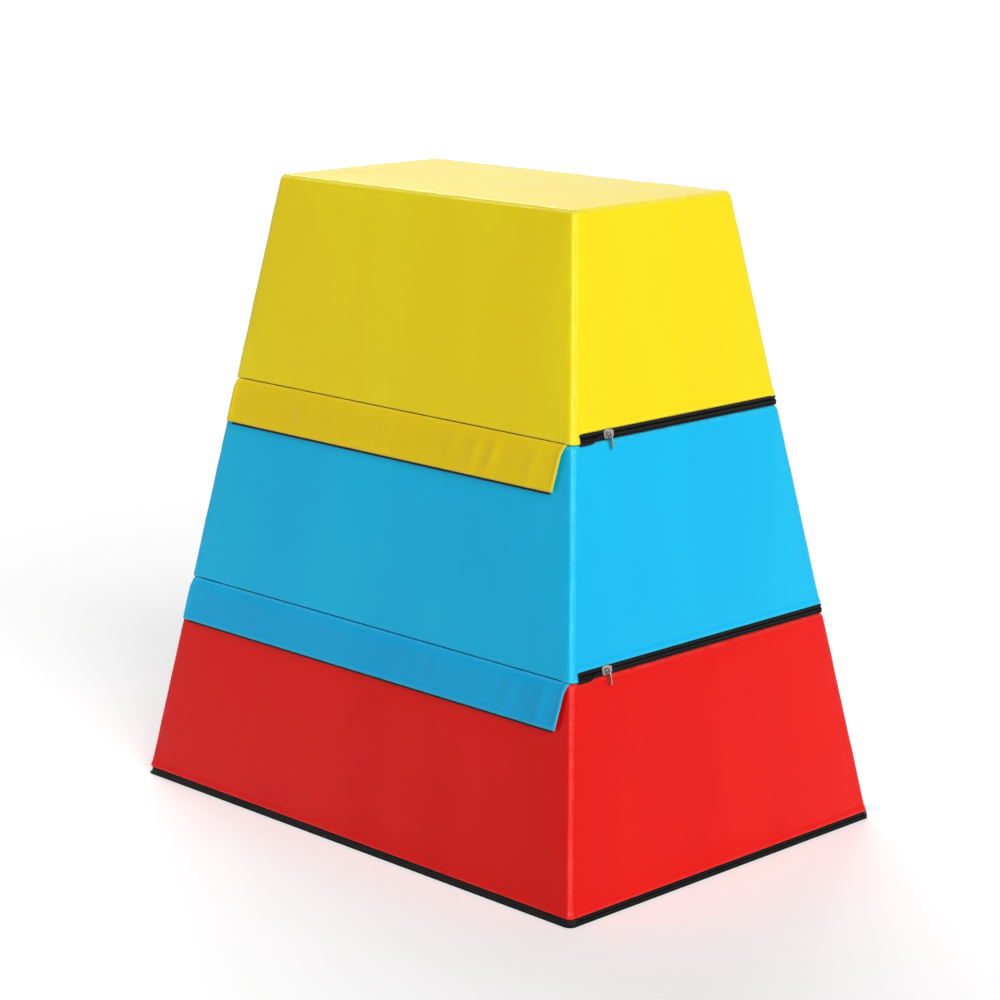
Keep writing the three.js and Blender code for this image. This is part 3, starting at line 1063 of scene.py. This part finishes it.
def fill_cover(tier):
    """The foam block in a cover, and the panel stretched over the cover's foot."""
    name = tier.name
    block = linked(f"{name}_foam_block", foam_block(tier), FINISHES["foam"])
    carried(block, tier.body, "foam", f"{name}_foam_core")
    panel = linked(f"{name}_closing_panel", base_panel(tier), FINISHES["base"], sharp=PANEL_TURN)
    carried(panel, tier.body, "base_vinyl", f"{name}_base_panel")
    flat = (2 * half_length(tier.base), 2 * half_width(tier.base))


def make_lip(tier):
    """The bottom panel's turned-up edge, round the front of the box."""
    start = -tier.zip_start
    low = tier.base + BASE_THICKNESS / 2
    high = tier.hem - CLEARANCE
    stations = run_stations(start, tier.base, LIP_PITCH)

    def place(along, up):
        station = stations[round(along * (len(stations) - 1))]
        spot = run_spot(start, station, mix(low, high, up), 0)
        return Vector((spot.x, -spot.y, spot.z))

    size = (2 * half_length(tier.base), high - tier.base)
    bm = grid_sheet(len(stations) - 1, LIP_ROWS, place, size)
    bmesh.ops.reverse_faces(bm, faces=bm.faces)
    lip = thicken(linked("bottom_panel_lip", bm, FINISHES["base"]), VINYL_THICKNESS, offset=-1)
    carried(lip, tier.body, "base_vinyl")


# Zips


def opening_share(tier, spot):
    """1 where the zip hangs open between its start and the slider, and 0 where it is closed."""
    if spot.x * tier.zip_end < 0 or not tier.has_flap:
        return 0
    nose = tier.slider_along - SLIDER_LENGTH / 2
    return 1 - ease(spot.y, nose - OPEN_FADE, nose)


def hung(tier, spot):
    """Drops a point of the zip's lower half where the zip is open, and leans it out over the tier below."""
    share = opening_share(tier, spot)
    lean = ease(share, OPEN_LEAN_START_SHARE, 1) * OPEN_LEAN
    return spot + Vector((lean * tier.zip_end, 0, -share * OPEN_SAG))


def run_sheet(tier, pitch, rows, profile, width, hangs=False):
    """A sheet along the zip. Its profile is the places out and up of its bends, and its first stretch may
    hang where the zip is open."""
    stations = run_stations(tier.zip_start, tier.hem, pitch)
    count = len(profile) - 1

    def place(along, across):
        station = stations[round(along * (len(stations) - 1))]
        stretch = min(int(across * count), count - 1)
        share = across * count - stretch
        (out, height), (next_out, next_height) = profile[stretch : stretch + 2]
        height = mix(height, next_height, share)
        spot = run_spot(tier.zip_start, station, height, mix(out, next_out, share))
        return hung(tier, spot) if hangs and stretch == 0 and share < 1 else spot

    length = sum(run_legs(tier.zip_start, tier.hem))
    return grid_sheet(len(stations) - 1, rows * count, place, (length, width))


def upper_tape(tier):
    """The tape that runs up behind the cover."""
    middle = -TAPE_INSET - TAPE_THICKNESS / 2
    profile = ((middle, tier.split_high), (middle, tier.hem + TAPE_HEM))
    return run_sheet(tier, TAPE_PITCH, TAPE_ROWS, profile, 2 * TAPE_HEM)


def lower_tape(tier):
    """The tape that turns in over the panel."""
    middle = -TAPE_INSET - TAPE_THICKNESS / 2
    leg = tier.base + COIL_BOTTOM + TAPE_THICKNESS / 2
    profile = ((middle, tier.split_low), (middle, leg), (middle - TAPE_HEM, leg))
    return run_sheet(tier, TAPE_PITCH, TAPE_ROWS, profile, 2 * TAPE_HEM, hangs=True)


def guard(tier):
    """A strip sewn behind the upper tape, which hangs down behind the coils and keeps the foam off them."""
    top, foot = tier.hem + TAPE_HEM, tier.base + FOAM_FOOT
    upper = -TAPE_INSET - TAPE_THICKNESS - GUARD_THICKNESS / 2
    lower = -GUARD_INSET - GUARD_THICKNESS / 2
    profile = ((upper, top), (lower, tier.hem), (lower, foot))
    return run_sheet(tier, GUARD_PITCH, GUARD_ROWS, profile, top - foot)


def coil(tier, low, high):
    """A row of the coil's turns, each a bead across the row."""
    middle = (low + high) / 2
    out = (COIL_PROUD - VINYL_THICKNESS) / 2
    depth = (COIL_PROUD + VINYL_THICKNESS) / 2
    upper = middle > (tier.split_low + tier.split_high) / 2
    places = []
    for station in run_stations(tier.zip_start, middle, COIL_PITCH):
        place = run_frame(tier.zip_start, station, middle, out)
        if not upper:
            place.translation = hung(tier, place.translation)
        places.append(place)
    size = (depth, COIL_PITCH * COIL_FILL_SHARE, (high - low) / 2)
    return row_of(ball(sides=6, rings=5, size=size), places)


def make_zip(tier):
    """The two tapes, the guard behind them and the two rows of turns."""
    name = tier.name
    for half, sheet in (("upper", upper_tape(tier)), ("lower", lower_tape(tier))):
        tape = thicken(linked(f"{name}_{half}_woven_tape", sheet, FINISHES["tape"]), TAPE_THICKNESS)
        carried(tape, tier.body, "zip_tape", f"{name}_zip_{half}_tape")
    behind = thicken(linked(f"{name}_zip_guard", guard(tier), FINISHES["tape"]), GUARD_THICKNESS)
    carried(behind, tier.body, "zip_tape")
    for half, low, high in (
        ("upper", tier.split_high, tier.hem - CLEARANCE),
        ("lower", tier.base + COIL_BOTTOM, tier.split_low),
    ):
        row = linked(f"{name}_{half}_coil_turns", coil(tier, low, high), FINISHES["coil"])
        carried(row, tier.body, "zip_coil", f"{name}_zip_{half}_coil")


# Sliders and pulls


def rod(points, radius):
    """A round rod through points, as a mesh with closed ends."""
    line = bpy.data.curves.new("rod", "CURVE")
    line.dimensions = "3D"
    line.bevel_depth = radius
    line.bevel_resolution = 3
    line.use_fill_caps = True
    spline = line.splines.new("POLY")
    spline.points.add(len(points) - 1)
    for place, point in zip(spline.points, points):
        place.co = (*point, 1)
    holder = bpy.data.objects.new("rod", line)
    mesh = bpy.data.meshes.new_from_object(holder)
    bpy.data.objects.remove(holder)
    bpy.data.curves.remove(line)
    return mesh


def plate(bm, width, thickness, out, rise):
    """Adds one of the slider's plates: its outline drawn out to its thickness, with rounded corners."""
    half = [(along * SLIDER_LENGTH, across * width) for along, across in PLATE_SHARES]
    outline = half + [(along, -across) for along, across in reversed(half)]
    points = [bm.verts.new((out, along, rise + across)) for along, across in outline]
    face = bm.faces.new(points)
    moved = points_of(bmesh.ops.extrude_face_region(bm, geom=[face]))
    bmesh.ops.translate(bm, verts=moved, vec=(thickness, 0, 0))
    shape = set(points) | set(moved)
    edges = [edge for edge in bm.edges if set(edge.verts) <= shape]
    corners = [edge for edge in edges if runs_along(edge, 0)]
    round_edges(bm, corners, PLATE_CORNER, PLATE_CORNER_STEPS)
    bmesh.ops.recalc_face_normals(bm, faces=bm.faces)


def carriage(tier):
    """The place of the slider on its leaning end: X outwards, Y along the zip and Z up the face."""
    spot = Matrix.Translation((half_length(tier.zip_middle), tier.slider_along, tier.zip_middle))
    side = Matrix.Diagonal((tier.zip_end, 1, 1, 1))
    return side @ spot @ Matrix.Rotation(-END_ANGLE, 4, "Y")


def settle(bm, place):
    """Moves a finished shape to its place, with its faces turned outwards."""
    bmesh.ops.transform(bm, matrix=place, verts=bm.verts)
    bmesh.ops.recalc_face_normals(bm, faces=bm.faces)
    return bm


def bridge():
    """The bridge that holds the pull: a bent rod with both feet in the outer plate."""
    reach = BRIDGE_LENGTH / 2 - BRIDGE_RADIUS
    root = OUTER_PLATE_OUT + OUTER_PLATE / 2
    arch = [(root, -reach, 0)]
    for side in (-1, 1):
        for step in range(BRIDGE_STEPS + 1):
            turn = (step if side < 0 else BRIDGE_STEPS - step) / BRIDGE_STEPS * math.pi / 2
            along = side * (reach - BRIDGE_BEND + BRIDGE_BEND * math.cos(turn))
            arch.append((BRIDGE_OUT - BRIDGE_BEND + BRIDGE_BEND * math.sin(turn), along, 0))
    arch.append((root, reach, 0))
    return rod(arch, BRIDGE_RADIUS)


def slider(tier):
    """Two plates with the zip between them, the neck that joins them and the bridge for the pull."""
    bm = bmesh.new()
    inner_out = -INNER_PLATE_INSET - INNER_PLATE
    inner_width = 2 * (tier.zip_middle - tier.base - FOAM_FOOT - INNER_PLATE * math.sin(END_ANGLE))
    inner_rise = (INNER_PLATE_INSET + INNER_PLATE / 2) * math.tan(END_ANGLE)
    plate(bm, SLIDER_WIDTH, OUTER_PLATE, OUTER_PLATE_OUT, 0)
    plate(bm, inner_width, INNER_PLATE, inner_out, inner_rise)
    neck_low, neck_high = inner_out + INNER_PLATE / 2, OUTER_PLATE_OUT + OUTER_PLATE / 2
    neck_size = Matrix.Diagonal((neck_high - neck_low, NECK_LENGTH, NECK_THICKNESS, 1))
    neck_place = Matrix.Translation(((neck_low + neck_high) / 2, (NECK_LENGTH - SLIDER_LENGTH) / 2, 0))
    level = Matrix.Rotation(END_ANGLE, 4, "Y")
    bmesh.ops.create_cube(bm, size=1, matrix=level @ neck_place @ neck_size)
    bm.from_mesh(bridge())
    return settle(bm, carriage(tier))


def pull(tier):
    """The tab that hangs from the slider's bridge: an eye, and a grip with a rounded end."""
    bm = bmesh.new()
    bmesh.ops.create_circle(bm, segments=PULL_EYE_STEPS, radius=PULL_RADIUS)
    inner = points_of(bmesh.ops.extrude_edge_only(bm, edges=bm.edges[:]))
    bmesh.ops.scale(bm, verts=inner, vec=(EYE_RADIUS / PULL_RADIUS,) * 3)
    moved = points_of(bmesh.ops.extrude_face_region(bm, geom=bm.faces[:]))
    bmesh.ops.translate(bm, verts=moved, vec=(0, 0, PULL_THICKNESS))
    grip = PULL_LENGTH - PULL_RADIUS - EYE_RADIUS - 2 * CLEARANCE
    size = Matrix.Diagonal((2 * PULL_RADIUS, grip, PULL_THICKNESS, 1))
    place = Matrix.Translation((0, -EYE_RADIUS - 2 * CLEARANCE - grip / 2, PULL_THICKNESS / 2))
    tab = bmesh.ops.create_cube(bm, size=1, matrix=place @ size)["verts"]
    foot = PULL_RADIUS - PULL_LENGTH + CLEARANCE
    ends = {edge for point in tab for edge in point.link_edges if runs_along(edge, 2) and point.co.y < foot}
    round_edges(bm, list(ends), PULL_RADIUS * PULL_END_SHARE, PULL_END_STEPS)
    stand = Matrix.Translation((0, PULL_THICKNESS / 2, 0)) @ Matrix.Rotation(math.pi / 2, 4, "X")
    turn = Matrix.Rotation(math.pi if tier.name == "bottom" else 0, 4, "Y")
    hang = Matrix.Translation((BRIDGE_OUT, 0, 0))
    return settle(bm, carriage(tier) @ hang @ turn @ stand)


def make_slider(tier):
    name = tier.name
    body = linked(f"{name}_slider", slider(tier), FINISHES["metal"], sharp=METAL_TURN)
    carried(softened(body, PLATE_EDGE), f"{name}_slider", "slider_metal", f"{name}_zip_slider")
    tab = linked(f"{name}_pull_tab", pull(tier), FINISHES["metal"], sharp=METAL_TURN)
    carried(softened(tab, PULL_EDGE), f"{name}_pull", "slider_metal", f"{name}_zip_pull")


# Flaps and strips


def front_spot(tier, seam, down, out, across, margin):
    """A point on the front: down the face from a seam, out from it, and across from the right end."""
    corner = half_length(seam - down * math.cos(SIDE_ANGLE)) - margin
    right = corner - FLAP_NEAR_INSET[tier.name] - FLAP_END_SLANT * down / FLAP_DEPTH
    left = FLAP_FAR_INSET - corner
    y = -half_width(seam) - down * math.sin(SIDE_ANGLE) - out * math.cos(SIDE_ANGLE)
    z = seam - down * math.cos(SIDE_ANGLE) + out * math.sin(SIDE_ANGLE)
    return Vector((mix(right, left, across), y, z))


def flap_section(share):
    """How far down and out the flap's middle is, at a share of the way from its sewn edge to its hem."""
    down = mix(FLAP_ROOT_DOWN, FLAP_DEPTH, share**FLAP_ROW_CROWDING)
    turn = 1 - min((down - FLAP_ROOT_DOWN) / FLAP_ROUND, 1)
    knuckle = mix(FLAP_ROOT_OUT, HOOK_OUT, math.sqrt(1 - turn**2))
    rise = FLAP_OUT + FLAP_THICKNESS / 2 - HOOK_OUT
    return down, knuckle + rise * ease(down, FLAP_BEND, FLAP_SHOULDER + FLAP_BEND)


def flap_ripple(tier, along, down):
    """How high the flap's puckers and ripples stand, as a share, before they fade at its edges."""
    spot = Vector((along / RIPPLE_WIDTH, down / RIPPLE_DROP, tier.base * RIPPLE_SHIFT))
    ripple = RIPPLE_SHARE * max(noise.noise(spot), 0)
    for place, share in FLAP_PUCKER_PLACES[tier.name]:
        drift = (along - place - FLAP_PUCKER_SLANT * down) / FLAP_PUCKER_WIDTH
        ripple += share * math.exp(-(drift**2))
    return ripple


def flap_sheet(tier):
    """The flap hangs from the tier's lower front edge, with a folded hem on three sides and a few puckers."""
    length = 2 * half_length(tier.base)
    seams = []

    def place(across, drop):
        across = mix(across, 0.5 - 0.5 * math.cos(math.pi * across), FLAP_END_CROWDING)
        down, out = flap_section(drop)
        from_hem = FLAP_DEPTH - down
        from_end = min(across, 1 - across) * length
        edge = min(from_hem, from_end)
        rolled = FLAP_HEM_ROLL * ease(edge, FLAP_HEM_START, FLAP_HEM_EDGE)
        out += rolled * (1 - ease(edge, FLAP_HEM - FLAP_HEM_EDGE, FLAP_HEM))
        pucker = FLAP_PUCKER * flap_ripple(tier, across * length, down)
        pucker *= ease(down, FLAP_BEND, 2 * FLAP_SHOULDER)
        out += pucker * mix(FLAP_PUCKER_HEM_SHARE, 1, ease(from_hem, 0, FLAP_DEPTH / 2))
        along = min(from_hem, down) if from_end < min(from_hem, down) else from_end
        seams.append((min(edge, down), along))
        return front_spot(tier, tier.base, down, out, across, 0)

    bm = grid_sheet(round(length / FLAP_COLUMN), FLAP_ROWS, place, (length, FLAP_DEPTH))
    for index, name in enumerate(("seam_off", "seam_along")):
        layer = bm.verts.layers.float.new(name)
        for point, seam in zip(bm.verts, seams):
            point[layer] = seam[index]
    return bm


def front_sheet(tier, seam, rows, depth, margin, section):
    """A sheet along the front. Its section says how far down and out each share of its depth is."""

    def place(across, share):
        down, out = section(share)
        return front_spot(tier, seam, down, out, across, margin)

    length = 2 * half_length(seam)
    return grid_sheet(round(length / STRIP_PITCH), rows, place, (length, depth))


def strip(tier, seam, start, out, thickness):
    """A hook or loop strip on the front, down from a seam."""

    def section(share):
        return start + share * STRIP_WIDTH, out + thickness / 2

    return front_sheet(tier, seam, STRIP_ROWS, STRIP_WIDTH, STRIP_END_MARGIN, section)


def binding_and_crease_shade(tier):
    """The dark tape that binds the seam of the cover's front foot and hangs a little below it. Its black in
    the crease also serves as painted shade there.
    """
    behind = -TUCK_DEPTH - VINYL_THICKNESS - BINDING_THICKNESS
    profile = (
        (BINDING_DROP, FLAP_ROOT_OUT - BINDING_BEHIND),
        (-BINDING_DROP / 2, behind),
        (-BINDING_RISE, behind),
    )

    def section(share):
        return profile[round(share * 2)]

    return front_sheet(tier, tier.base, 2, BINDING_DROP + BINDING_RISE, 0, section)


def front_rows(tier, seam, downs, out, margin, surface=None):
    """Rows of stitches along the front, each at its own way down from a seam."""
    count = round(2 * half_length(seam) / STITCH_PITCH)
    places = []
    for down in downs:
        for step in range(1, count):
            spot = front_spot(tier, seam, down, out, step / count, margin)
            places.append(Matrix.Translation(spot) @ Matrix.Rotation(math.pi / 2, 4, "Z"))
    return stitches(places, surface)


def make_flap(tier):
    """A tier's flap, the dark tape on its seam (also painted shade in the crease), its hook strip and the
    rows of stitches that hold the strip.
    """
    name, slot = tier.name, tier.vinyl["slot"]
    sheet = linked(f"{name}_hanging_flap", flap_sheet(tier), FINISHES[f"{name} flap"])
    surface = surface_of(sheet)
    thicken(sheet, FLAP_THICKNESS)
    # The seam's tape: real, and its black also paints the crease's shade
    bound = thicken(linked(f"{name}_seam_binding", binding_and_crease_shade(tier), FINISHES["tape"]), BINDING_THICKNESS)
    carried(bound, tier.body, "zip_tape")
    turns_from = front_spot(tier, tier.base, *flap_section(0), 0.5, 0)
    turns_to = front_spot(tier, tier.base, FLAP_ROUND, HOOK_OUT, 0.5, 0)
    turns_to.x = turns_from.x
    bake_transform(sheet)
    dressed(sheet, slot, f"{name}_flap")
    start = FLAP_DEPTH - HOOK_EDGE_MARGIN - STRIP_WIDTH
    hooks = strip(tier, tier.base, start, HOOK_OUT, HOOK_THICKNESS)
    hook = thicken(linked(f"{name}_hook_tape", hooks, FINISHES["hooks"]), HOOK_THICKNESS)
    carried(hook, f"{name}_flap", "hook_and_loop", f"{name}_hook_strip")
    downs = (FLAP_DEPTH - FLAP_STITCH_INSET, FLAP_DEPTH - STRIP_WIDTH + FLAP_STITCH_INSET / 2)
    out = FLAP_OUT + 2 * FLAP_THICKNESS
    rows = front_rows(tier, tier.base, downs, out, FLAP_STITCH_INSET, surface)
    rows = linked(f"{name}_flap_stitches", rows, FINISHES[f"{name} thread"])
    carried(rows, f"{name}_flap", slot)
    flat = (2 * half_length(tier.base) - FLAP_NEAR_INSET[name] - FLAP_FAR_INSET, FLAP_DEPTH)


def make_loop_strip(tier, below):
    """The loop strip for a tier's flap, sewn to the front of the tier below it."""
    start = FLAP_DEPTH + LOOP_REACH - STRIP_WIDTH
    seam = below.top + CLEARANCE
    loops = strip(tier, seam, start, CLEARANCE, LOOP_THICKNESS)
    loop = thicken(linked(f"{below.name}_loop_tape", loops, FINISHES["loops"]), LOOP_THICKNESS)
    carried(loop, below.body, "hook_and_loop", f"{below.name}_loop_strip")
    downs = (start + STRIP_STITCH_INSET, start + STRIP_WIDTH - STRIP_STITCH_INSET)
    out = CLEARANCE + LOOP_THICKNESS - THREAD_SINK
    rows = front_rows(tier, seam, downs, out, STRIP_END_MARGIN + STRIP_STITCH_INSET)
    rows = linked(f"{below.name}_loop_stitches", rows, FINISHES["black thread"])
    carried(rows, below.body, "hook_and_loop")


# Assembly

bpy.context.scene.view_settings.view_transform = "Standard"
set_camera()
set_light()
lay_floor()

make_covers()
for tier in tiers.values():
    fill_cover(tier)
    make_zip(tier)
    make_slider(tier)
make_lip(tiers["bottom"])
for name, below in (("top", "middle"), ("middle", "bottom")):
    make_flap(tiers[name])
    make_loop_strip(tiers[name], tiers[below])
